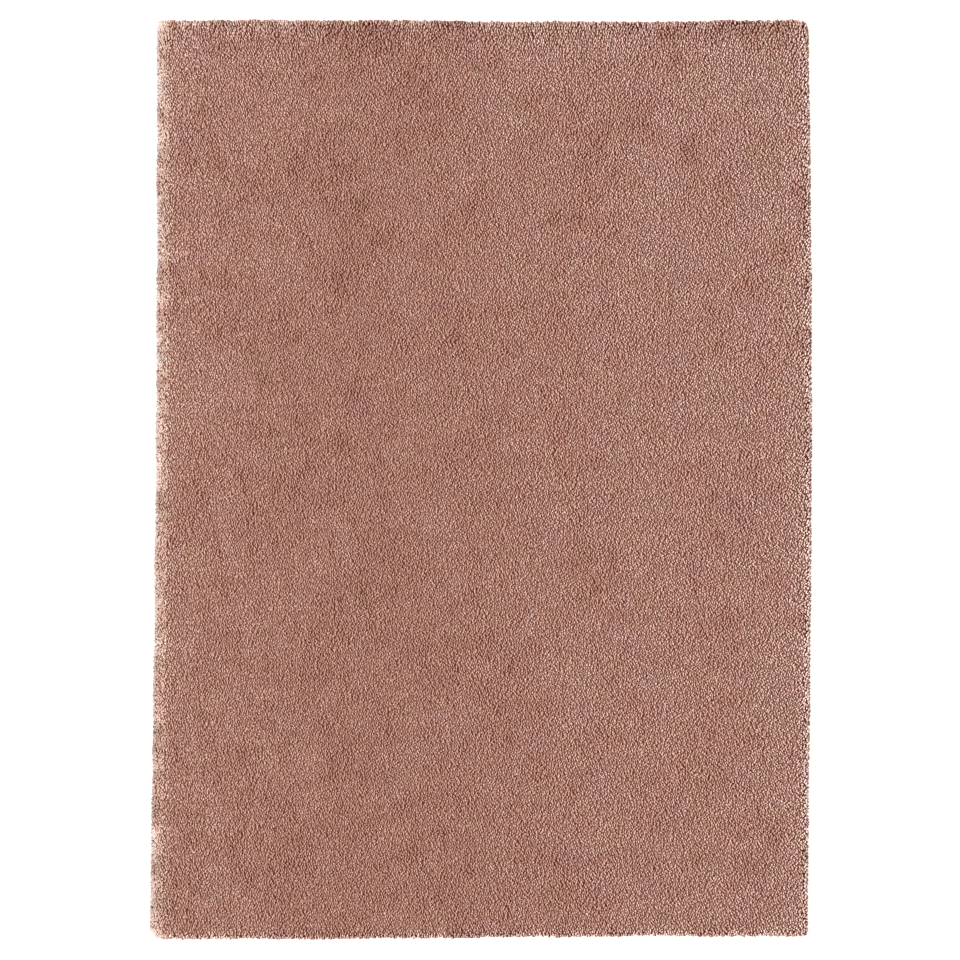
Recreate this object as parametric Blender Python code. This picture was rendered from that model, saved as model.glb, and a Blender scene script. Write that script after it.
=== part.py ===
"""Low pile rug, 1.70 m by 2.40 m nominal, lying flat with its pile up.

One piece of cut-pile cloth: a ground weave with its pile, turned in at the four edges. It is a flat
solid whose outline is where the pile reaches, so its sides bow and wander by some millimetres and its
corners are each rounded differently.

Origin: middle of the underside. +X runs across the width, +Y along the length to the head end, +Z up.
Units: metres.
"""

import math
from collections import namedtuple

import bpy
from mathutils import Vector

# ---------------------------------------------------------------- driving dimensions
WIDTH = 1.70             # nominal width of the cloth
LENGTH = 2.40            # nominal length of the cloth
GROUND_THICKNESS = 0.003 # ground weave with its back finish
PILE_HEIGHT = 0.015      # cut pile above the ground weave
FLANK_ROUND = 0.005      # rounding of the flank, over the pile and under the ground
POINT_SPACING = 0.030    # distance between the outline's points along a side
CORNER_POINTS = 6        # spans in each corner's arc
MM = 0.001

THICKNESS = GROUND_THICKNESS + PILE_HEIGHT

# Where the pile's outline turns each corner: out_x and out_y are millimetres outside the nominal
# rectangle, and radius is the rounding of the pile there.
Corner = namedtuple("Corner", "name  side_x  side_y  out_x  out_y  radius")
CORNERS = (
    Corner("foot_left",  -1, -1, 20,  6, 21),
    Corner("foot_right",  1, -1,  3, -1, 10),
    Corner("head_right",  1,  1,  6,  5, 26),
    Corner("head_left",  -1,  1,  1,  4, 13),
)

# How each side departs from the straight line between its corners, in millimetres outwards: bow is one
# half wave along the side, sway a full wave, and ripple is the height of its small uneven waves.
Side = namedtuple("Side", "name  bow  sway  ripple  waves")
SIDES = (
    Side("foot",   0,  2, 1.6, 13),
    Side("right", 10, -1, 1.0, 17),
    Side("head",  -2, -2, 1.6, 11),
    Side("left",  -6,  0, 1.2, 19),
)

PILE_COLOUR = (0.381, 0.195, 0.153, 1.0)   # dusty rose brown
PILE_ROUGHNESS = 0.95


def corner_point(corner):
    """The sharp corner, before rounding."""
    x = corner.side_x * (WIDTH / 2 + corner.out_x * MM)
    y = corner.side_y * (LENGTH / 2 + corner.out_y * MM)
    return Vector((x, y))


def arc_through_corner(corner, before, after):
    """Points of the arc that rounds a corner between the directions of its two sides."""
    tip = corner_point(corner)
    towards_before = (corner_point(before) - tip).normalized()
    towards_after = (corner_point(after) - tip).normalized()
    half_angle = towards_before.angle(towards_after) / 2
    radius = corner.radius * MM
    bisector = (towards_before + towards_after).normalized()
    centre = tip + bisector * radius / math.sin(half_angle)
    tangent_length = radius / math.tan(half_angle)
    start = tip + towards_before * tangent_length - centre
    sweep = math.pi - 2 * half_angle
    points = []
    for step in range(CORNER_POINTS + 1):
        angle = sweep * step / CORNER_POINTS
        turned = Vector((
            start.x * math.cos(angle) - start.y * math.sin(angle),
            start.x * math.sin(angle) + start.y * math.cos(angle),
        ))
        points.append(centre + turned)
    return points


def ripple_at(side, fraction):
    """Small uneven waves of the pile's edge, fading to nothing at both corners."""
    fade = min(1.0, 8 * fraction, 8 * (1 - fraction))
    slow = math.sin(2 * math.pi * side.waves * 0.37 * fraction + side.waves)
    quick = math.sin(2 * math.pi * side.waves * fraction)
    return side.ripple * fade * (0.6 * slow + 0.4 * quick)


def side_points(side, start, end):
    """Points between two corners' arcs, moved outwards by the side's bow, sway and ripple."""
    run = end - start
    outward = Vector((run.y, -run.x)).normalized()
    spans = round(run.length / POINT_SPACING)
    points = []
    for step in range(1, spans):
        fraction = step / spans
        departure = side.bow * math.sin(math.pi * fraction)
        departure += side.sway * math.sin(2 * math.pi * fraction)
        departure += ripple_at(side, fraction)
        points.append(start + run * fraction + outward * departure * MM)
    return points


def rug_outline():
    """The closed outline, anticlockwise from the foot's left corner, centred on its own box."""
    count = len(CORNERS)
    arcs = []
    for index, corner in enumerate(CORNERS):
        before = CORNERS[index - 1]
        after = CORNERS[(index + 1) % count]
        arcs.append(arc_through_corner(corner, before, after))
    points = []
    for index, side in enumerate(SIDES):
        points += arcs[index]
        points += side_points(side, arcs[index][-1], arcs[(index + 1) % count][0])
    middle_x = (min(point.x for point in points) + max(point.x for point in points)) / 2
    middle_y = (min(point.y for point in points) + max(point.y for point in points)) / 2
    return [point - Vector((middle_x, middle_y)) for point in points]


def make_pile_material():
    """Matt dyed yarn."""
    material = bpy.data.materials.new("pile")
    material.use_nodes = True
    shader = material.node_tree.nodes["Principled BSDF"]
    shader.inputs["Base Color"].default_value = PILE_COLOUR
    shader.inputs["Roughness"].default_value = PILE_ROUGHNESS
    shader.inputs["Metallic"].default_value = 0.0
    return material


def make_rug(collection):
    """The rug as a filled flat curve, as thick as ground and pile, with a rounded flank."""
    curve = bpy.data.curves.new("rug", "CURVE")
    curve.dimensions = "2D"
    curve.fill_mode = "BOTH"
    curve.extrude = THICKNESS / 2 - FLANK_ROUND
    curve.bevel_depth = FLANK_ROUND
    curve.bevel_resolution = 1
    curve.offset = -FLANK_ROUND
    outline = rug_outline()
    spline = curve.splines.new("POLY")
    spline.points.add(len(outline) - 1)
    for point, place in zip(spline.points, outline):
        point.co = (place.x, place.y, 0.0, 1.0)
    spline.use_cyclic_u = True
    curve.materials.append(make_pile_material())
    rug = bpy.data.objects.new("rug", curve)
    rug.location.z = THICKNESS / 2
    collection.objects.link(rug)
    return rug


for old_object in list(bpy.data.objects):
    bpy.data.objects.remove(old_object, do_unlink=True)

rug_collection = bpy.data.collections.new("low_pile_rug")
bpy.context.scene.collection.children.link(rug_collection)
make_rug(rug_collection)
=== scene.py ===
import math
from collections import namedtuple

import bpy
import numpy as np
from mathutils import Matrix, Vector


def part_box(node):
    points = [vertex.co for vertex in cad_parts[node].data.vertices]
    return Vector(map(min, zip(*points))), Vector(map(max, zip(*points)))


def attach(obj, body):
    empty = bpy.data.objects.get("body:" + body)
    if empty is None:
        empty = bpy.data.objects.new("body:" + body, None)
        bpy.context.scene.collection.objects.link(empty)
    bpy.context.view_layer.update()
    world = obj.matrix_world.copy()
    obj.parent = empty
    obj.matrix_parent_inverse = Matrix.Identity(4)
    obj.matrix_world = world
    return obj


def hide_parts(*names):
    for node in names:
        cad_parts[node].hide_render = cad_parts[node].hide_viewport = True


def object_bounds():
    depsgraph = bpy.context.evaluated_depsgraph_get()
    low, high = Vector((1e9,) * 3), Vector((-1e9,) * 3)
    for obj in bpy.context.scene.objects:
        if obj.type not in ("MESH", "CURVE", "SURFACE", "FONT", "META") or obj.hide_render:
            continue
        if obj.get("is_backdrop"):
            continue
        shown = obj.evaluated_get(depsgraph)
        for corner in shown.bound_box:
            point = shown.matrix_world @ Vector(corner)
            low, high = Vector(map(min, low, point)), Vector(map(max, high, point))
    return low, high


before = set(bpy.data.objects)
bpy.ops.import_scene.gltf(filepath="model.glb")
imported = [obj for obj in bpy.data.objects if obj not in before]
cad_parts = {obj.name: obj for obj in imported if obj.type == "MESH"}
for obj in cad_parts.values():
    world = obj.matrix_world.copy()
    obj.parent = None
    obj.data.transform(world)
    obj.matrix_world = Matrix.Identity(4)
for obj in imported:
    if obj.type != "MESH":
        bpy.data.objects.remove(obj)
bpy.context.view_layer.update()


# ---------------------------------------------------------------- ground weave
# The ground is a plain weave of stout undyed yarns. The pile's roots are bound into it so closely that
# they make one soft mass on its face. It is one closed sheet, turned in under the pile at its edges.
GROUND_INSET = 0.004          # how far the pile reaches out past the ground
GROUND_THICKNESS = 0.003
UNDER_TURN = 1.5              # how far in the underside meets the floor, in rim heights
ROOT_MASS = 0.0145            # height of the close-packed roots, ground included
ROOT_ROUNDING = 0.0035        # distance from the rim over which the root mass swells
GROUND_STEP = 0.080           # spacing of the sheet's grid
RIM_STATIONS = (0.0, 0.0012, 0.003, 0.006, 0.011, 0.018, 0.027)   # its closer lines near an edge
ROOT_ENDS = 250.0             # cut ends to a metre across the root mass
ROOT_DRAWN_OUT = 0.6          # their width as a share of their length
ROOT_FILL = 1.25              # above 1 narrows the raised part of each end
ROOT_FIBRES = 1400.0          # fibres to a metre across them
ROOT_RELIEF = 0.0012          # height of the cut ends
# The root mass is painted darker than the tufts' yarn, as painted shade in the gaps between the tufts;
# its darker colour is painted shade where the cut ends meet.
ROOT_CREASE_SHADE = (0.19, 0.090, 0.066)
ROOT_PALE = (0.37, 0.215, 0.170)
GROUND_PITCH = 0.0026         # from one ground yarn to the next
GROUND_RELIEF = 0.0007        # height of the ground yarns
GROUND_FIBRES = 2600.0        # fibres to a metre across a ground yarn
GROUND_DRAWN_OUT = 0.12       # their width as a share of their length
# Colours of the weave's back by its height: the darkest is painted shade in the hollows between the
# yarns, the palest a painted highlight on their crowns.
GROUND_HOLLOW_SHADE = (0.13, 0.085, 0.06)
GROUND_MIDDLE = (0.43, 0.33, 0.25)
GROUND_CROWN_HIGHLIGHT = (0.62, 0.51, 0.41)
CORNER_ROUND = {              # rounding of the cloth at each corner
    "foot_left": 0.034,
    "foot_right": 0.012,
    "head_right": 0.042,
    "head_left": 0.024,
}
LEAST_ROUND = 0.006
CORNER_REACH = 0.040          # length at each end of a side that belongs to its corners
RING_AT = 0.7                 # about where the solid's upright side ends, as a share of its thickness
RING_BAND = 0.15              # and how near to that its ring of points lies

box_low, box_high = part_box("rug")
cad_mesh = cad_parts["rug"].data
cad_points = np.empty(len(cad_mesh.vertices) * 3, np.float32)
cad_mesh.vertices.foreach_get("co", cad_points)
cad_points = cad_points.reshape(-1, 3).astype(float)
on_widest_ring = np.abs(cad_points[:, 2] / box_high.z - RING_AT) < RING_BAND
ring = np.unique(cad_points[on_widest_ring, :2].round(6), axis=0)


def side_run(along, beyond, towards):
    """One side of the ring: its points sorted along that side, as (place along it, place across it)."""
    away_from_corners = np.abs(ring[:, along]) < box_high[along] - CORNER_REACH
    chosen = ring[away_from_corners & (ring[:, beyond] * towards > 0)]
    chosen = chosen[np.argsort(chosen[:, along])]
    return chosen[:, along], chosen[:, beyond]


left_run = side_run(1, 0, -1)
right_run = side_run(1, 0, 1)
foot_run = side_run(0, 1, -1)
head_run = side_run(0, 1, 1)


def place_on_rug(across, along, inset):
    """Point of the rug for across and along from 0 to 1, with the edge moved in by inset.

    Each point lies between the left and right side by its share across, and between the foot and the
    head by its share along. In a corner's square of side r the point is drawn in towards the middle,
    p to p*sqrt(1 - q*q/2) and q to q*sqrt(1 - p*p/2), which turns that square into a quarter circle.
    """
    x = box_low.x + (box_high.x - box_low.x) * across
    y = box_low.y + (box_high.y - box_low.y) * along
    left = np.interp(y, *left_run) + inset
    right = np.interp(y, *right_run) - inset
    foot = np.interp(x, *foot_run) + inset
    head = np.interp(x, *head_run) - inset
    x = left + (right - left) * across
    y = foot + (head - foot) * along
    move_x = np.zeros_like(x)
    move_y = np.zeros_like(y)
    for corner, rounding in CORNER_ROUND.items():
        r = np.maximum(rounding - inset * 0.5, LEAST_ROUND)
        from_side = x - left if corner.endswith("left") else right - x
        from_end = y - foot if corner.startswith("foot") else head - y
        p = np.clip(1 - from_side / r, 0, 1)
        q = np.clip(1 - from_end / r, 0, 1)
        inward_x = 1 if corner.endswith("left") else -1
        inward_y = 1 if corner.startswith("foot") else -1
        move_x += inward_x * r * p * (1 - np.sqrt(1 - q * q / 2))
        move_y += inward_y * r * q * (1 - np.sqrt(1 - p * p / 2))
    return x + move_x, y + move_y


def edge_stations(length):
    """Places along a side from 0 to 1: close together near both ends, evenly spaced between."""
    last = RIM_STATIONS[-1]
    middle = np.arange(last + GROUND_STEP, length - last - GROUND_STEP / 2, GROUND_STEP)
    stations = np.concatenate([RIM_STATIONS, middle, length - np.array(RIM_STATIONS)[::-1]])
    return stations / length


def mesh_from_arrays(name, points, faces):
    """A smooth-shaded mesh from an array of points and one of faces that all have as many corners."""
    mesh = bpy.data.meshes.new(name)
    mesh.vertices.add(len(points))
    mesh.vertices.foreach_set("co", np.asarray(points, np.float32).ravel())
    mesh.loops.add(faces.size)
    mesh.loops.foreach_set("vertex_index", faces.astype(np.int32).ravel())
    mesh.polygons.add(len(faces))
    mesh.polygons.foreach_set("loop_start", np.arange(len(faces), dtype=np.int32) * faces.shape[1])
    mesh.polygons.foreach_set("use_smooth", np.ones(len(faces), bool))
    mesh.update(calc_edges=True)
    mesh.validate()
    return mesh


def add_piece(name, mesh, *materials):
    """A finished piece at the origin, riding on the rug's one body."""
    for material in materials:
        mesh.materials.append(material)
    piece = bpy.data.objects.new(name, mesh)
    bpy.context.scene.collection.objects.link(piece)
    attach(piece, "root")
    return piece


def ground_sheet():
    """The sheet as two grids that share their rim: the root mass above, the weave's back below.

    With d the distance in from the rim, the top is at rim height plus a rise that grows as
    1 - exp(-d / rounding) to the root mass, and the underside falls from the rim to the floor as
    (1 - d / reach) squared.
    """
    width = box_high.x - box_low.x - 2 * GROUND_INSET
    length = box_high.y - box_low.y - 2 * GROUND_INSET
    across, along = np.meshgrid(edge_stations(width), edge_stations(length), indexing="ij")
    x, y = place_on_rug(across, along, GROUND_INSET)
    from_side = np.minimum(across, 1 - across) * width
    from_end = np.minimum(along, 1 - along) * length
    depth = np.minimum(from_side, from_end)
    rim = GROUND_THICKNESS / 2
    top = rim + (ROOT_MASS - rim) * (1 - np.exp(-depth / ROOT_ROUNDING))
    under = rim * np.clip(1 - depth / (UNDER_TURN * rim), 0, 1) ** 2
    number = np.arange(across.size).reshape(across.shape)
    inner = np.zeros(across.shape, bool)
    inner[1:-1, 1:-1] = True
    under_number = number.copy()
    under_number[inner] = across.size + np.arange(inner.sum())
    top_points = np.stack([x, y, top], -1).reshape(-1, 3)
    under_points = np.stack([x, y, under], -1)[inner]

    def grid_faces(n, upward):
        corners = [n[:-1, :-1], n[1:, :-1], n[1:, 1:], n[:-1, 1:]]
        return np.stack(corners if upward else corners[::-1], -1).reshape(-1, 4)

    faces = np.concatenate([grid_faces(number, True), grid_faces(under_number, False)])
    mesh = mesh_from_arrays("rug_ground", np.concatenate([top_points, under_points]), faces)
    is_under = np.repeat(np.array([0, 1], np.int32), len(faces) // 2)
    mesh.polygons.foreach_set("material_index", is_under)
    return mesh


def new_material(title, roughness):
    """A material with its tree and its Principled shader."""
    material = bpy.data.materials.new(title)
    material.use_nodes = True
    shader = material.node_tree.nodes["Principled BSDF"]
    shader.inputs["Roughness"].default_value = roughness
    shader.inputs["Specular IOR Level"].default_value = 0.0
    return material, material.node_tree, shader


def value_node(tree, operation, *given):
    """One step of arithmetic on numbers or on other nodes' values."""
    node = tree.nodes.new("ShaderNodeMath")
    node.operation = operation
    for socket, value in zip(node.inputs, given):
        if isinstance(value, (int, float)):
            socket.default_value = value
        else:
            tree.links.new(value, socket)
    return node.outputs["Value"]


def ramp_node(tree, factor, *stops):
    """A colour ramp through (place, colour) stops."""
    node = tree.nodes.new("ShaderNodeValToRGB")
    elements = node.color_ramp.elements
    while len(elements) < len(stops):
        elements.new(0.5)
    for element, (place, colour) in zip(elements, stops):
        element.position = place
        element.color = (*colour, 1.0)
    tree.links.new(factor, node.inputs["Fac"])
    return node.outputs["Color"]


def noise_node(tree, vector, scale, detail):
    """Soft noise from 0 to 1 over a vector."""
    node = tree.nodes.new("ShaderNodeTexNoise")
    node.inputs["Scale"].default_value = scale
    node.inputs["Detail"].default_value = detail
    tree.links.new(vector, node.inputs["Vector"])
    return node.outputs["Fac"]


def stretched(tree, vector, scale):
    """A vector with each axis multiplied: what is drawn over it is longer where the scale is smaller."""
    mapping = tree.nodes.new("ShaderNodeMapping")
    mapping.inputs["Scale"].default_value = scale
    tree.links.new(vector, mapping.inputs["Vector"])
    return mapping.outputs["Vector"]


def bump_node(tree, shader, height, strength, distance):
    """The shader's normal, bumped by a height from 0 to 1 that stands for a distance in metres."""
    node = tree.nodes.new("ShaderNodeBump")
    node.inputs["Strength"].default_value = strength
    node.inputs["Distance"].default_value = distance
    tree.links.new(height, node.inputs["Height"])
    tree.links.new(node.outputs["Normal"], shader.inputs["Normal"])


def root_material():
    """The close-packed yarn between the tufts that stand out: each cell of a Voronoi pattern, drawn out
    along the cloth, is one cut end, raised in its middle. Its colour follows that relief, pale in its
    middle and darkened where it meets the next as painted shade in the crease, and all of it is painted
    darker than the tufts' yarn, as painted shade in the gaps between the tufts."""
    material, tree, shader = new_material("pile_roots", 0.95)
    place = tree.nodes.new("ShaderNodeTexCoord").outputs["Object"]
    ends = tree.nodes.new("ShaderNodeTexVoronoi")
    ends.inputs["Scale"].default_value = ROOT_ENDS
    drawn_out = stretched(tree, place, (1.0, ROOT_DRAWN_OUT, 1.0))
    tree.links.new(drawn_out, ends.inputs["Vector"])
    fibres = noise_node(tree, place, ROOT_FIBRES, 2.0)
    from_middle = value_node(tree, "MULTIPLY", ends.outputs["Distance"], ROOT_FILL)
    raised = value_node(tree, "SUBTRACT", 1.0, from_middle)
    relief = value_node(tree, "MULTIPLY_ADD", fibres, 0.15, raised)
    colour = ramp_node(tree, relief, (0.10, ROOT_CREASE_SHADE), (0.95, ROOT_PALE))
    tree.links.new(colour, shader.inputs["Base Color"])
    bump_node(tree, shader, relief, 1.0, ROOT_RELIEF)
    return material


def weave_material():
    """Plain weave of undyed yarn, seen from the back.

    Warp and weft each rise as the size of a sine across their yarns. Where the product of the two sines
    is above 0 the warp lies on top, elsewhere the weft, so that each yarn goes over one and under one.
    Six tenths of the height are the yarn on top's, and four tenths the product of both, which crowns it
    where they cross. Fine noise drawn out along the yarn on top gives its fibres. The colour follows the
    height: darkened in the hollows as painted shade and lightened on the crowns as a painted highlight,
    and varied by thick and thin places in the yarn.
    """
    material, tree, shader = new_material("ground_weave", 0.92)
    place = tree.nodes.new("ShaderNodeTexCoord").outputs["Object"]
    split = tree.nodes.new("ShaderNodeSeparateXYZ")
    tree.links.new(place, split.inputs["Vector"])
    half_turn = math.pi / GROUND_PITCH
    warp_wave = value_node(tree, "SINE", value_node(tree, "MULTIPLY", split.outputs["X"], half_turn))
    weft_wave = value_node(tree, "SINE", value_node(tree, "MULTIPLY", split.outputs["Y"], half_turn))
    warp = value_node(tree, "ABSOLUTE", warp_wave)
    weft = value_node(tree, "ABSOLUTE", weft_wave)
    both_waves = value_node(tree, "MULTIPLY", warp_wave, weft_wave)
    warp_on_top = value_node(tree, "GREATER_THAN", both_waves, 0.0)

    def top_of(for_warp, for_weft):
        difference = value_node(tree, "SUBTRACT", for_warp, for_weft)
        return value_node(tree, "MULTIPLY_ADD", difference, warp_on_top, for_weft)

    def fibres_along(stretch):
        return noise_node(tree, stretched(tree, place, stretch), GROUND_FIBRES, 2.0)

    yarn_on_top = value_node(tree, "MULTIPLY", top_of(warp, weft), 0.6)
    crown = value_node(tree, "MULTIPLY", warp, weft)
    height = value_node(tree, "MULTIPLY_ADD", crown, 0.4, yarn_on_top)
    warp_fibres = fibres_along((1.0, GROUND_DRAWN_OUT, 1.0))
    weft_fibres = fibres_along((GROUND_DRAWN_OUT, 1.0, 1.0))
    relief = value_node(tree, "MULTIPLY_ADD", top_of(warp_fibres, weft_fibres), 0.3, height)
    thick_and_thin = noise_node(tree, place, 45.0, 3.0)
    # The colour follows the relief: painted shade in the hollows, a painted highlight on the crowns.
    lit = value_node(tree, "MULTIPLY", relief, 0.72)
    look = value_node(tree, "MULTIPLY_ADD", thick_and_thin, 0.35, lit)
    colour = ramp_node(tree, look, (0.15, GROUND_HOLLOW_SHADE), (0.62, GROUND_MIDDLE), (1.0, GROUND_CROWN_HIGHLIGHT))
    tree.links.new(colour, shader.inputs["Base Color"])
    bump_node(tree, shader, relief, 0.9, GROUND_RELIEF)
    return material


ground = add_piece("rug_ground", ground_sheet(), root_material(), weave_material())
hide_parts("rug")


# ---------------------------------------------------------------- cut pile
# The pile is soft heat-set yarn, cut to one height. Its tufts stand close together, lean a little this
# way and that in drifts, and roll over the ground's edges, where they gather into small locks.
ACROSS_SPACING = 0.0062       # from one tuft to the next
ALONG_SPACING = 0.0074
ACROSS_JITTER = 0.30          # shares of a spacing
ALONG_JITTER = 0.33
ACROSS_MARGIN = 0.0004        # shares of a side that stay free of tufts at its ends
ALONG_MARGIN = 0.0003
BRUSHED_TUFTS = 3600          # more tufts, brushed up along the left side
BRUSHED_WIDTH = 0.040
BRUSHED_SIZE = 0.85
PILE_HEIGHT = 0.0178          # top of the tufts above the floor
HEIGHT_VARIES = 0.0004
ROOT_HEIGHT = 0.0060
ROLL_WIDTH = {                # how far in from the pile's edge its roll reaches
    "left": 0.022,
    "right": 0.010,
    "foot": 0.016,
    "head": 0.017,
}
ROLL_FOOT = {                 # height of the outermost tufts' tips
    "left": 0.0045,
    "right": 0.0080,
    "foot": 0.0045,
    "head": 0.0045,
}
EDGE_ROOT = 0.6               # roots of the outermost tufts, in from the edge, as a share of the roll
ROLL_CURVE = 1.25             # length of the roll's quarter ellipse for its width
TIP_REACH = 0.003             # how far the outermost tips pass the edge
STRAY_LIMIT = 1.6             # single tufts stray no further than this many times their usual way
TUFT_SIDES = 5
TUFT_WIDTH = 0.0029           # half width of a tuft
TUFT_LENGTH = 0.0053          # its half length, along the way it lies
ROLL_TUFT_LENGTH = 0.0040     # the same at the edge
HEAD_LENGTHENS = 0.5          # how much longer it is at the head, and how far in from there
HEAD_LENGTH_FADE = 0.03
SIZE_VARIES = 0.12
SHOULDER = 0.60               # share of its height at which a tuft is widest
EDGE_SHOULDER = 0.1           # how much higher its shoulder is at an edge
POINTED = 0.05                # and how much lower in the paler pile
LEAN = 0.0012                 # how far a tuft's tip leans, and the shares of its causes
TUFT_LEAN = 0.6
CLUMP_LEAN = 0.5
NAP_LEAN = 0.25
RUFFLE = 0.3                  # how much more the darker pile is ruffled
HEADING_SWINGS = 0.40         # turns of the tufts' long way, in radians
HEADING_VARIES = 0.22
RIGHT_SLANT = 0.45
RIGHT_SLANT_FADE = 0.025
SHADE = 0.532                 # middle shade of the yarn, and how far each cause moves it
SHADE_VARIES = 0.03
SHADE_PATCHES = 0.060
SHADE_STREAKS = 0.021
SHADE_CLUMPS = 0.075
SHADE_TO_HEAD = 0.028         # to a metre
SHADE_HOLLOW = 0.105          # depth, middle and spread of the darker stretch left of the middle
HOLLOW_MIDDLE = -0.25
HOLLOW_SPREAD = 0.36
TINT = 0.30                   # middle tint of the yarn, from pink at 0 to tan, and how far it drifts
TINT_VARIES = 0.16
TINT_TAN = 0.6
YARN_DEEP = (0.320, 0.168, 0.136)         # the yarn by shade
YARN_ROSE = (0.497, 0.324, 0.277)
YARN_BLUSH = (0.80, 0.662, 0.612)
DYE_PINK = (1.0, 0.98, 1.04)              # what its tint multiplies it by
DYE_TAN = (1.0, 1.015, 0.955)
# The grey end is reached near the edges and by the loose fibres; at the edges it is painted light: a
# greyer painted veil of sheen over the pale bands, and painted shade on the left's outermost rim.
PAINTED_EDGE_GREY = (0.67, 0.80, 0.83)
# Painted shade down each tuft towards its root, and a little painted light at its tip, by its height.
ROOT_SHADOW = (0.40, 0.30, 0.27)          # and what its depth does, from root to tip
TIP_GLOW = (1.03, 1.03, 1.03)
SHADE_LEVELS = 16             # steps of light and dark in the dyed yarn
TINT_LEVELS = 12              # steps from pink through tan to grey
CELL_MARGIN = 0.04            # free rim of each step's cell in the second map
PLY_TURNS = 2.0               # plies round a tuft
PLY_RISE = 16.0               # radians by which the plies turn over a tuft's height
YARN_BUMP = 0.0007            # height of the plies and fibres
PILE_PIECES = 5
EDGES = ("left", "right", "foot", "head")

# Drifts in the pile: the shortest and longest of their waves and how many waves make them up.
SWAY_DRIFT = (0.025, 0.07, 40)
NAP_DRIFT = (0.10, 0.45, 40)
LEAN_DRIFT = (0.012, 0.03, 60)
HEADING_DRIFT = (0.02, 0.08, 50)
PATCH_DRIFT = (0.22, 0.80, 50)
STREAK_DRIFT = (0.03, 0.12, 40)
STREAK_STRETCH = 5.0
CLUMP_DRIFT = (0.04, 0.22, 100)
CLUMP_STRETCH = 0.7
EDGE_DRIFT = (0.03, 0.12, 50)
TINT_DRIFT = (0.07, 0.26, 50)
rng = np.random.default_rng(240170)


def drift(x, y, shortest, longest, waves, stretch=1.0):
    """Soft noise of unit spread: a sum of plane waves with lengths between two limits and any direction.

    stretch above 1 lengthens the patches along X, and below 1 narrows them.
    """
    length = np.exp(rng.uniform(np.log(shortest), np.log(longest), waves))
    heading = rng.uniform(0, 2 * np.pi, waves)
    start = rng.uniform(0, 2 * np.pi, waves)
    total = np.zeros_like(x)
    for wave, way, phase in zip(length, heading, start):
        place = (x * np.cos(way) / stretch + y * np.sin(way)) / wave
        total += np.cos(2 * np.pi * place + phase)
    return total * math.sqrt(2 / waves)


def tuft_surfaces(root, tip, wide, long, heading, turn, shoulder, sides):
    """Tufts as arrays: each swells from a point at its root to a ring and closes again at its tip.

    The ring is square to the line from root to tip, at the shoulder's share of it. Its corner k is at
    the centre plus wide times the cosine of k equal turns, started at turn, across the tuft's heading,
    and long times the sine along it. Returns points and triangles.
    """
    line = tip - root
    axis = line / np.linalg.norm(line, axis=1)[:, None]
    level = np.cross(np.array([0.0, 1.0, 0.0]), axis)
    level /= np.linalg.norm(level, axis=1)[:, None]
    steep = np.cross(axis, level)
    cosine, sine = np.cos(heading)[:, None], np.sin(heading)[:, None]
    crosswise = level * cosine + steep * sine
    lengthwise = steep * cosine - level * sine
    corner = np.arange(sides)
    after = (corner + 1) % sides
    angle = turn[:, None] + corner * 2 * np.pi / sides
    rings = crosswise[:, None] * (wide[:, None] * np.cos(angle))[..., None]
    rings = rings + lengthwise[:, None] * (long[:, None] * np.sin(angle))[..., None]
    rings = rings + (root + shoulder[:, None] * line)[:, None]
    points = np.concatenate([root[:, None], rings, tip[:, None]], 1)
    below = np.stack([np.zeros(sides, int), 1 + after, 1 + corner], 1)
    above = np.stack([1 + corner, 1 + after, np.full(sides, sides + 1)], 1)
    first = (np.arange(len(root)) * (sides + 2))[:, None, None]
    faces = first + np.concatenate([below, above])[None]
    return points.reshape(-1, 3), faces.reshape(-1, 3)


def yarn_places(sides):
    """For one tuft's face corners, in the order of its faces: turn round the tuft and height, 0 to 1."""
    here = np.arange(sides) / sides
    after = here + 1 / sides
    between = (here + after) / 2
    low, high, top = np.zeros(sides), np.full(sides, SHOULDER), np.ones(sides)
    below = np.stack([between, low, after, high, here, high], 1)
    above = np.stack([here, high, after, high, between, top], 1)
    return np.concatenate([below, above]).reshape(-1, 2)


def yarn_piece(name, surfaces, shade, tint, sides, material):
    """A piece of many tufts. Shade and tint are stepped, and each pair of steps has its own cell of the
    second map, in which the cell holds the yarn's own map."""
    mesh = mesh_from_arrays(name, *surfaces)
    shade_level = np.clip(np.floor(shade * SHADE_LEVELS), 0, SHADE_LEVELS - 1)
    tint_level = np.clip(np.floor(tint * TINT_LEVELS), 0, TINT_LEVELS - 1)
    for title, level, steps in (("shade", shade_level, SHADE_LEVELS), ("tint", tint_level, TINT_LEVELS)):
        values = mesh.attributes.new(title, "FLOAT", "POINT")
        each = np.repeat((level + 0.5) / steps, sides + 2)
        values.data.foreach_set("value", each.astype(np.float32))
    cell = np.stack([shade_level, tint_level], 1)[:, None]
    yarn_map = np.repeat(yarn_places(sides)[None], len(shade), 0)
    within = CELL_MARGIN + (1 - 2 * CELL_MARGIN) * yarn_map
    cell_map = (cell + within) / (SHADE_LEVELS, TINT_LEVELS)
    for title, where in (("yarn", yarn_map), ("OFBake", cell_map)):
        layer = mesh.uv_layers.new(name=title)
        layer.uv.foreach_set("vector", where.astype(np.float32).ravel())
    return add_piece(name, mesh, material)


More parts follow.
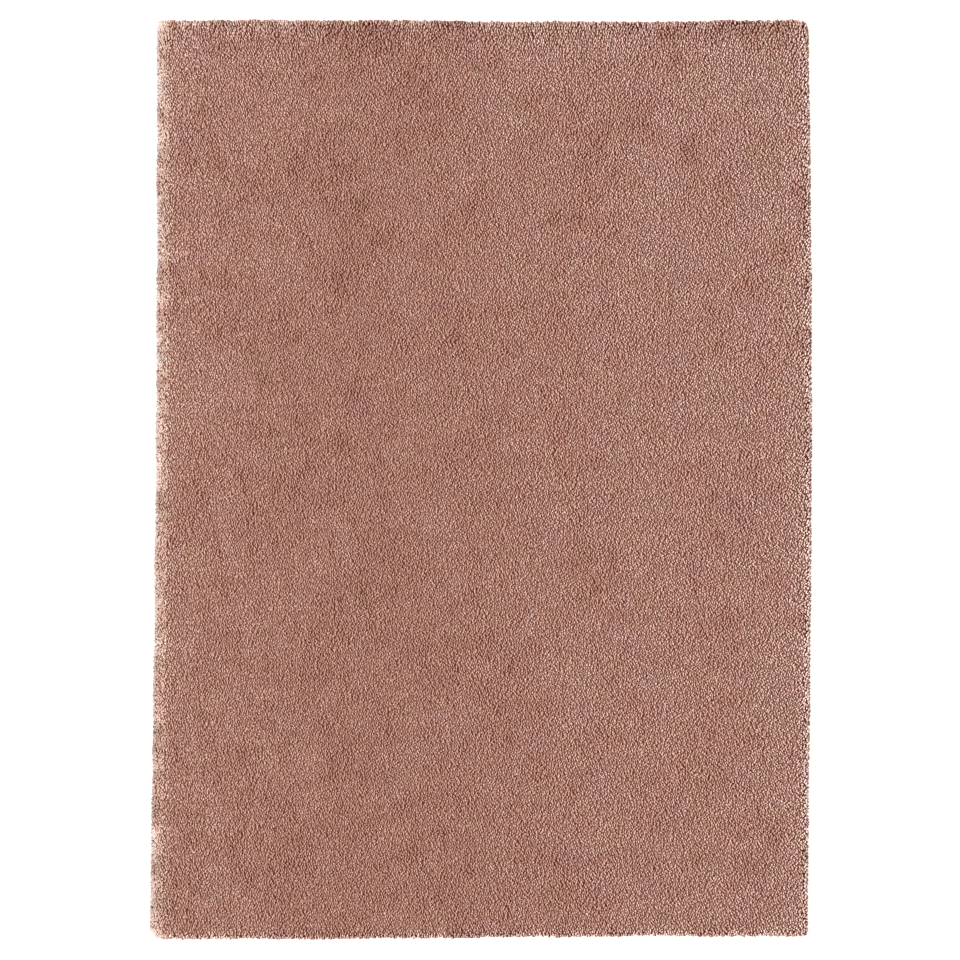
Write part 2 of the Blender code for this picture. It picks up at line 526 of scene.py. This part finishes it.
def pile_material():
    """Dyed yarn: its colour is darkened towards the root as painted shade deep in the pile and a little
    lightened at the cut tip as painted light, with the twist of its plies and the streaks of its fibres
    as colour and bump; shade and tint differ from tuft to tuft, and near the edges they carry painted
    light."""
    material, tree, shader = new_material("rose_pile", 0.8)

    def multiplied(first, second):
        node = tree.nodes.new("ShaderNodeMix")
        node.data_type = "RGBA"
        node.blend_type = "MULTIPLY"
        node.inputs["Factor"].default_value = 1.0
        tree.links.new(first, node.inputs[6])
        tree.links.new(second, node.inputs[7])
        return node.outputs[2]

    def attribute(title):
        node = tree.nodes.new("ShaderNodeAttribute")
        node.attribute_name = title
        return node.outputs["Fac"]

    yarn = tree.nodes.new("ShaderNodeUVMap")
    yarn.uv_map = "yarn"
    place = tree.nodes.new("ShaderNodeSeparateXYZ")
    tree.links.new(yarn.outputs["UV"], place.inputs["Vector"])
    turn = value_node(tree, "MULTIPLY", place.outputs["X"], 2 * math.pi)
    height = place.outputs["Y"]

    rising = value_node(tree, "MULTIPLY", height, PLY_RISE)
    plies = value_node(tree, "SINE", value_node(tree, "MULTIPLY_ADD", turn, PLY_TURNS, rising))
    around = tree.nodes.new("ShaderNodeCombineXYZ")
    tree.links.new(value_node(tree, "COSINE", turn), around.inputs["X"])
    tree.links.new(value_node(tree, "SINE", turn), around.inputs["Y"])
    tree.links.new(value_node(tree, "MULTIPLY", height, 0.75), around.inputs["Z"])
    fibres = noise_node(tree, around.outputs["Vector"], 4.8, 2.0)

    face = ramp_node(tree, attribute("shade"), (0.0, YARN_DEEP), (0.45, YARN_ROSE), (1.0, YARN_BLUSH))
    # the tint's grey end holds painted light near the edges
    dye = ramp_node(tree, attribute("tint"), (0.0, DYE_PINK), (TINT_TAN, DYE_TAN), (1.0, PAINTED_EDGE_GREY))
    streak = ramp_node(tree, fibres, (0.3, (0.88, 0.86, 0.85)), (0.7, (1.06, 1.07, 1.07)))
    # painted shade towards the root of each tuft and a little painted light at its tip
    depth = ramp_node(tree, height, (0.31, ROOT_SHADOW), (0.74, TIP_GLOW))
    colour = multiplied(multiplied(multiplied(face, dye), streak), depth)
    tree.links.new(colour, shader.inputs["Base Color"])
    tree.links.new(value_node(tree, "MULTIPLY_ADD", fibres, 0.2, 0.72), shader.inputs["Roughness"])
    relief = value_node(tree, "MULTIPLY_ADD", plies, 0.5, fibres)
    bump_node(tree, shader, relief, 0.5, YARN_BUMP)
    return material


def on_roll(from_edge, roll):
    """Inset and rise, from 0 to 1, of a place on a roll of this width, where from_edge is the distance
    along the pile's surface. The roll is a quarter ellipse, and past it the pile is level."""
    reach = ROLL_CURVE * roll
    angle = np.minimum(from_edge / reach, 1) * np.pi / 2
    return roll * (1 - np.cos(angle)) + np.maximum(from_edge - reach, 0), np.sin(angle)


def drawn_in(inset, roll):
    """Inset of the root for a tip at this inset: the roots under the roll stand closer together."""
    return np.where(inset < roll, EDGE_ROOT * roll + inset * (1 - EDGE_ROOT), inset)


def share_of(first, last, size):
    """Share along a side of this size, from the insets at its two ends, whichever is nearer."""
    return np.where(first < last, first, size - last) / size


width = box_high.x - box_low.x
length = box_high.y - box_low.y
surface_width = width + (ROLL_CURVE - 1) * (ROLL_WIDTH["left"] + ROLL_WIDTH["right"])
surface_length = length + (ROLL_CURVE - 1) * (ROLL_WIDTH["foot"] + ROLL_WIDTH["head"])
columns = round(surface_width / ACROSS_SPACING)
rows = round(surface_length / ALONG_SPACING)
across, along = np.meshgrid(np.arange(columns), np.arange(rows), indexing="xy")
across = across + 0.5 * (along % 2) + 0.25
across = (across + rng.uniform(-ACROSS_JITTER, ACROSS_JITTER, across.shape)).ravel() / columns
along = (along + 0.5 + rng.uniform(-ALONG_JITTER, ALONG_JITTER, along.shape)).ravel() / rows
brushed = rng.uniform(0, 1, (2, BRUSHED_TUFTS))
across = np.concatenate([across, brushed[0] * BRUSHED_WIDTH / surface_width])
along = np.concatenate([along, brushed[1]])
across = np.clip(across, ACROSS_MARGIN, 1 - ACROSS_MARGIN)
along = np.clip(along, ALONG_MARGIN, 1 - ALONG_MARGIN)
count = len(across)

along_surface = {
    "left": across * surface_width,
    "right": (1 - across) * surface_width,
    "foot": along * surface_length,
    "head": (1 - along) * surface_length,
}
inset, rise, root_inset = {}, {}, {}
tip_z = rng.normal(PILE_HEIGHT, HEIGHT_VARIES, count)
for edge in EDGES:
    inset[edge], rise[edge] = on_roll(along_surface[edge], ROLL_WIDTH[edge])
    root_inset[edge] = drawn_in(inset[edge], ROLL_WIDTH[edge])
    tip_z = tip_z - (PILE_HEIGHT - ROLL_FOOT[edge]) * (1 - rise[edge])
tip_z = np.maximum(tip_z, min(ROLL_FOOT.values()))
level_share = rise["left"] * rise["right"] * rise["foot"] * rise["head"]
tip_x, tip_y = place_on_rug(
    share_of(inset["left"], inset["right"], width),
    share_of(inset["foot"], inset["head"], length), -TIP_REACH
)
root_x, root_y = place_on_rug(
    share_of(root_inset["left"], root_inset["right"], width),
    share_of(root_inset["foot"], root_inset["head"], length), 0.0
)

# Locks at each edge: how far beyond the edge they lie, their spacing, how far their tufts gather
# sideways and reach outwards, how far single tufts stray outwards, and how far the pile sways sideways.
Lock = namedtuple("Lock", "edge  beyond  spacing  gather  reach  stray  sway")
LOCKS = (
    Lock("left", 0.0018, 0.021, 0.0012, 0.0004, 0.0010, 0.0024),
    Lock("right", 0.0, 0.019, 0.0012, 0.0003, 0.0004, 0.0040),
    Lock("foot", -0.0010, 0.023, 0.0024, 0.0026, 0.0013, 0.0030),
    Lock("head", -0.0010, 0.029, 0.0034, 0.0018, 0.0010, 0.0050),
)
OUTWARD = {"left": -1, "right": 1, "foot": -1, "head": 1}
stray = np.clip(rng.normal(0, 1, count), -STRAY_LIMIT, STRAY_LIMIT)
sway = drift(tip_x, tip_y, *SWAY_DRIFT)
for lock in LOCKS:
    runs_across = lock.edge in ("foot", "head")
    place = tip_x if runs_across else tip_y
    uneven = 1.6 * np.sin(place * 41.0) + 1.1 * np.sin(place * 97.0 + 2.0)   # so no two locks are alike
    angle = 2 * np.pi * place / lock.spacing + uneven
    low = 1 - rise[lock.edge]
    sideways = (lock.sway * sway - lock.gather * np.sin(angle)) * low
    reach = lock.beyond + lock.reach * np.cos(angle) + lock.stray * stray
    outwards = reach * low * OUTWARD[lock.edge]
    tip_x = tip_x + (sideways if runs_across else outwards)
    tip_y = tip_y + (outwards if runs_across else sideways)

x, y = root_x, root_y
nap = drift(x, y, *NAP_DRIFT)
clump_x = drift(x, y, *LEAN_DRIFT)
clump_y = drift(x, y, *LEAN_DRIFT)
ruffle_x = rng.normal(0, TUFT_LEAN, count)
ruffle_y = rng.normal(0, TUFT_LEAN, count)
size = np.exp(rng.normal(0, SIZE_VARIES, count))
size[-BRUSHED_TUFTS:] *= BRUSHED_SIZE
wide = TUFT_WIDTH * size
long = (ROLL_TUFT_LENGTH + (TUFT_LENGTH - ROLL_TUFT_LENGTH) * level_share) * size
long = long * (1 + HEAD_LENGTHENS * np.exp(-inset["head"] / HEAD_LENGTH_FADE))
heading = HEADING_SWINGS * drift(x, y, *HEADING_DRIFT) + rng.normal(0, HEADING_VARIES, count)
heading = heading - RIGHT_SLANT * np.exp(-inset["right"] / RIGHT_SLANT_FADE)
turn = rng.uniform(0, 2 * np.pi, count)

# The pile is mottled: where it is paler it lies calmer and its tufts are more pointed, and where it is
# darker it is ruffled. mottle has unit spread, and past its limit the tufts grow no more pointed.
MOTTLE_LIMIT = 2.5
patches = drift(x, y, *PATCH_DRIFT)
streaks = drift(x, y, *STREAK_DRIFT, stretch=STREAK_STRETCH)
clumps = drift(x, y, *CLUMP_DRIFT, stretch=CLUMP_STRETCH)
edge_patches = drift(x, y, *EDGE_DRIFT)
mottle = 0.8 * clumps + 0.6 * patches
ruffled = np.exp(-RUFFLE * mottle)
shoulder = SHOULDER + EDGE_SHOULDER * (1 - level_share)
shoulder = shoulder - POINTED * np.clip(mottle, -MOTTLE_LIMIT, MOTTLE_LIMIT)

# Near three of the edges the pile is combed one way: by across and along, dying away over fade.
Combing = namedtuple("Combing", "edge  across  along  fade")
COMBED_EDGES = (
    Combing("head", 0.0, 0.0080, 0.040),
    Combing("foot", 0.0, -0.0020, 0.020),
    Combing("right", 0.0035, 0.0055, 0.030),
)
lean_x = LEAN * (ruffled * ruffle_x + CLUMP_LEAN * clump_x + NAP_LEAN * nap)
lean_y = LEAN * (ruffled * ruffle_y + CLUMP_LEAN * clump_y)
for combing in COMBED_EDGES:
    near = np.exp(-inset[combing.edge] / combing.fade)
    lean_x = lean_x + combing.across * near
    lean_y = lean_y + combing.along * near
tip = np.stack([tip_x + lean_x * level_share, tip_y + lean_y * level_share, tip_z], 1)
root = np.stack([root_x - lean_x / 2, root_y - lean_y / 2, np.full(count, ROOT_HEIGHT)], 1)

# Painted light where the pile rolls over: it is paler there, a painted highlight for the edge catching
# the light, by band, centred at middle in from the edge and as wide as spread, and by lift, which dies
# away over fade. It is patchy there by patch, and greyer by grey, a painted veil of sheen. The left
# side's second row is its outermost rim, greyest of all and darker than the band inside it, which is
# painted shade.
EdgeLight = namedtuple("EdgeLight", "edge  band  middle  spread  lift  fade  patch  grey")
PAINTED_EDGE_LIGHT = (
    EdgeLight("left", 0.18, 0.030, 0.018, 0.12, 0.09, 0.25, 0.25),
    EdgeLight("left", -0.12, 0.000, 0.020, 0.00, 0.09, 0.00, 1.00),
    EdgeLight("right", 0.35, 0.000, 0.014, 0.19, 0.06, 0.35, 0.15),
    EdgeLight("head", 0.10, 0.006, 0.012, 0.02, 0.06, 0.30, 0.10),
    EdgeLight("foot", 0.18, 0.004, 0.012, 0.02, 0.06, 0.30, 0.10),
)
shade = SHADE + SHADE_VARIES * rng.normal(0, 1, count)
shade = shade + SHADE_PATCHES * patches + SHADE_STREAKS * streaks + SHADE_CLUMPS * clumps
shade = shade - SHADE_HOLLOW * np.exp(-((x - HOLLOW_MIDDLE) / HOLLOW_SPREAD) ** 2) + SHADE_TO_HEAD * y
tint = np.clip(TINT + TINT_VARIES * drift(x, y, *TINT_DRIFT), 0, TINT_TAN)
# painted light at the edges: paler bands as painted highlight, greyer as painted sheen, and the left's
# darker rim as painted shade
for pale in PAINTED_EDGE_LIGHT:
    near = np.exp(-((inset[pale.edge] - pale.middle) / pale.spread) ** 2)
    shade = shade + pale.band * near * (1 + pale.patch * edge_patches)
    shade = shade + pale.lift * np.exp(-inset[pale.edge] / pale.fade)
    tint = tint + pale.grey * near * (1 - tint)

yarn = pile_material()
for number, chosen in enumerate(np.array_split(np.arange(count), PILE_PIECES), 1):
    surfaces = tuft_surfaces(
        root[chosen], tip[chosen], wide[chosen], long[chosen], heading[chosen], turn[chosen],
        shoulder[chosen], TUFT_SIDES
    )
    yarn_piece(f"pile_{number}", surfaces, shade[chosen], tint[chosen], TUFT_SIDES, yarn)


# ---------------------------------------------------------------- loose fibres at the edges
# Single fibres have worked out of the cut yarn along the edges, most of them on the left side. They
# stand out past the pile as a faint haze.
FIBRE_SIDES = 3
FIBRE_RADIUS = 0.00030
RADIUS_VARIES = 0.25
FIBRE_SHOULDER = 0.6          # share of its length at which a fibre is thickest
FIBRE_SLANT = 0.006           # how far a fibre's tip stands along the edge from its root
FIBRE_START = 0.005           # how far in from the edge it comes out of the pile
FIBRE_ROOT_HEIGHTS = (0.007, 0.013)
FIBRE_TIP_HEIGHTS = (0.003, 0.011)
FIBRE_ENDS = (0.006, 0.994)   # shares of a side between which its fibres stand
FIBRE_SHADE = 0.85
FIBRE_TINT = 1.0
Fringe = namedtuple("Fringe", "edge  per_metre  reach")
LOOSE_FIBRES = (
    Fringe("left", 1200, 0.0070),
    Fringe("right", 300, 0.0025),
    Fringe("foot", 500, 0.0050),
    Fringe("head", 400, 0.0040),
)
fibre_roots, fibre_tips = [], []
for fringe in LOOSE_FIBRES:
    runs_across = fringe.edge in ("foot", "head")
    side_length = width if runs_across else length
    number = round(fringe.per_metre * side_length)
    here = rng.uniform(*FIBRE_ENDS, number)
    there = here + rng.normal(0, FIBRE_SLANT, number) / side_length
    out = fringe.reach * rng.uniform(0, 1, number) ** 1.5
    end = np.full(number, 0.0 if fringe.edge in ("left", "foot") else 1.0)
    inner = (here, end) if runs_across else (end, here)
    outer = (there, end) if runs_across else (end, there)
    root_height = rng.uniform(*FIBRE_ROOT_HEIGHTS, number)
    tip_height = rng.uniform(*FIBRE_TIP_HEIGHTS, number)
    fibre_roots.append(np.stack([*place_on_rug(*inner, FIBRE_START), root_height], 1))
    fibre_tips.append(np.stack([*place_on_rug(*outer, -out), tip_height], 1))
fibre_root, fibre_tip = np.concatenate(fibre_roots), np.concatenate(fibre_tips)
fibre_count = len(fibre_root)
radius = FIBRE_RADIUS * np.exp(rng.normal(0, RADIUS_VARIES, fibre_count))
fibre_turn = rng.uniform(0, 2 * np.pi, fibre_count)
surfaces = tuft_surfaces(
    fibre_root, fibre_tip, radius, radius, np.zeros(fibre_count), fibre_turn,
    np.full(fibre_count, FIBRE_SHOULDER), FIBRE_SIDES
)
yarn_piece(
    "edge_fibres", surfaces, np.full(fibre_count, FIBRE_SHADE), np.full(fibre_count, FIBRE_TINT),
    FIBRE_SIDES, yarn
)


# ---------------------------------------------------------------- floor, light and camera
# The rug lies on a plain pale floor that runs past the view. A low sun from the left picks out every
# tuft, a warm even light fills the hollows, and a long lens looks straight down.
FLOOR_HALF = 60.0
FLOOR_COLOUR = (0.9, 0.9, 0.9, 1.0)
FLOOR_GLOW = 0.86             # lifts the floor to the plain white of the backdrop
FILL_COLOUR = (1.0, 0.50, 0.36, 1.0)
FILL_STRENGTH = 0.345
KEY_STRENGTH = 7.05
KEY_SIZE = 8                  # degrees across
KEY_TILT = 63                 # degrees from straight above, towards the left
LENS = 100.0
SENSOR = 36.0
VIEW_SIZE = 2.517             # what the picture spans at the pile's height
CAMERA_X = -0.0020
CAMERA_Y = -0.0002

floor_mesh = bpy.data.meshes.new("floor")
floor_mesh.from_pydata(
    [(-FLOOR_HALF, -FLOOR_HALF, 0), (FLOOR_HALF, -FLOOR_HALF, 0),
     (FLOOR_HALF, FLOOR_HALF, 0), (-FLOOR_HALF, FLOOR_HALF, 0)],
    [], [(0, 1, 2, 3)],
)
floor_material = bpy.data.materials.new("pale_floor")
floor_material.use_nodes = True
floor_shader = floor_material.node_tree.nodes["Principled BSDF"]
floor_shader.inputs["Base Color"].default_value = FLOOR_COLOUR
floor_shader.inputs["Roughness"].default_value = 1.0
floor_shader.inputs["Specular IOR Level"].default_value = 0.0
floor_shader.inputs["Emission Color"].default_value = (1.0, 1.0, 1.0, 1.0)
floor_shader.inputs["Emission Strength"].default_value = FLOOR_GLOW
floor_mesh.materials.append(floor_material)
floor = bpy.data.objects.new("floor", floor_mesh)
bpy.context.scene.collection.objects.link(floor)
floor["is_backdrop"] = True

world = bpy.data.worlds.new("studio")
world.use_nodes = True
world_nodes, world_links = world.node_tree.nodes, world.node_tree.links
fill = world_nodes["Background"]
fill.inputs["Color"].default_value = FILL_COLOUR
fill.inputs["Strength"].default_value = FILL_STRENGTH
backdrop = world_nodes.new("ShaderNodeBackground")
backdrop.inputs["Color"].default_value = (1.0, 1.0, 1.0, 1.0)
seen = world_nodes.new("ShaderNodeLightPath").outputs["Is Camera Ray"]
fill_or_backdrop = world_nodes.new("ShaderNodeMixShader")
world_links.new(seen, fill_or_backdrop.inputs["Fac"])
world_links.new(fill.outputs["Background"], fill_or_backdrop.inputs[1])
world_links.new(backdrop.outputs["Background"], fill_or_backdrop.inputs[2])
world_links.new(fill_or_backdrop.outputs["Shader"], world_nodes["World Output"].inputs["Surface"])
bpy.context.scene.world = world

key_light = bpy.data.lights.new("key", "SUN")
key_light.energy = KEY_STRENGTH
key_light.angle = math.radians(KEY_SIZE)
key = bpy.data.objects.new("key", key_light)
key.rotation_euler = (0.0, -math.radians(KEY_TILT), 0.0)
bpy.context.scene.collection.objects.link(key)

camera_data = bpy.data.cameras.new("camera")
camera_data.lens = LENS
camera_data.sensor_width = SENSOR
camera = bpy.data.objects.new("camera", camera_data)
camera.location = (CAMERA_X, CAMERA_Y, box_high.z + VIEW_SIZE * LENS / SENSOR)
bpy.context.scene.collection.objects.link(camera)
bpy.context.scene.camera = camera
bpy.context.scene.view_settings.view_transform = "Standard"

low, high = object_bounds()
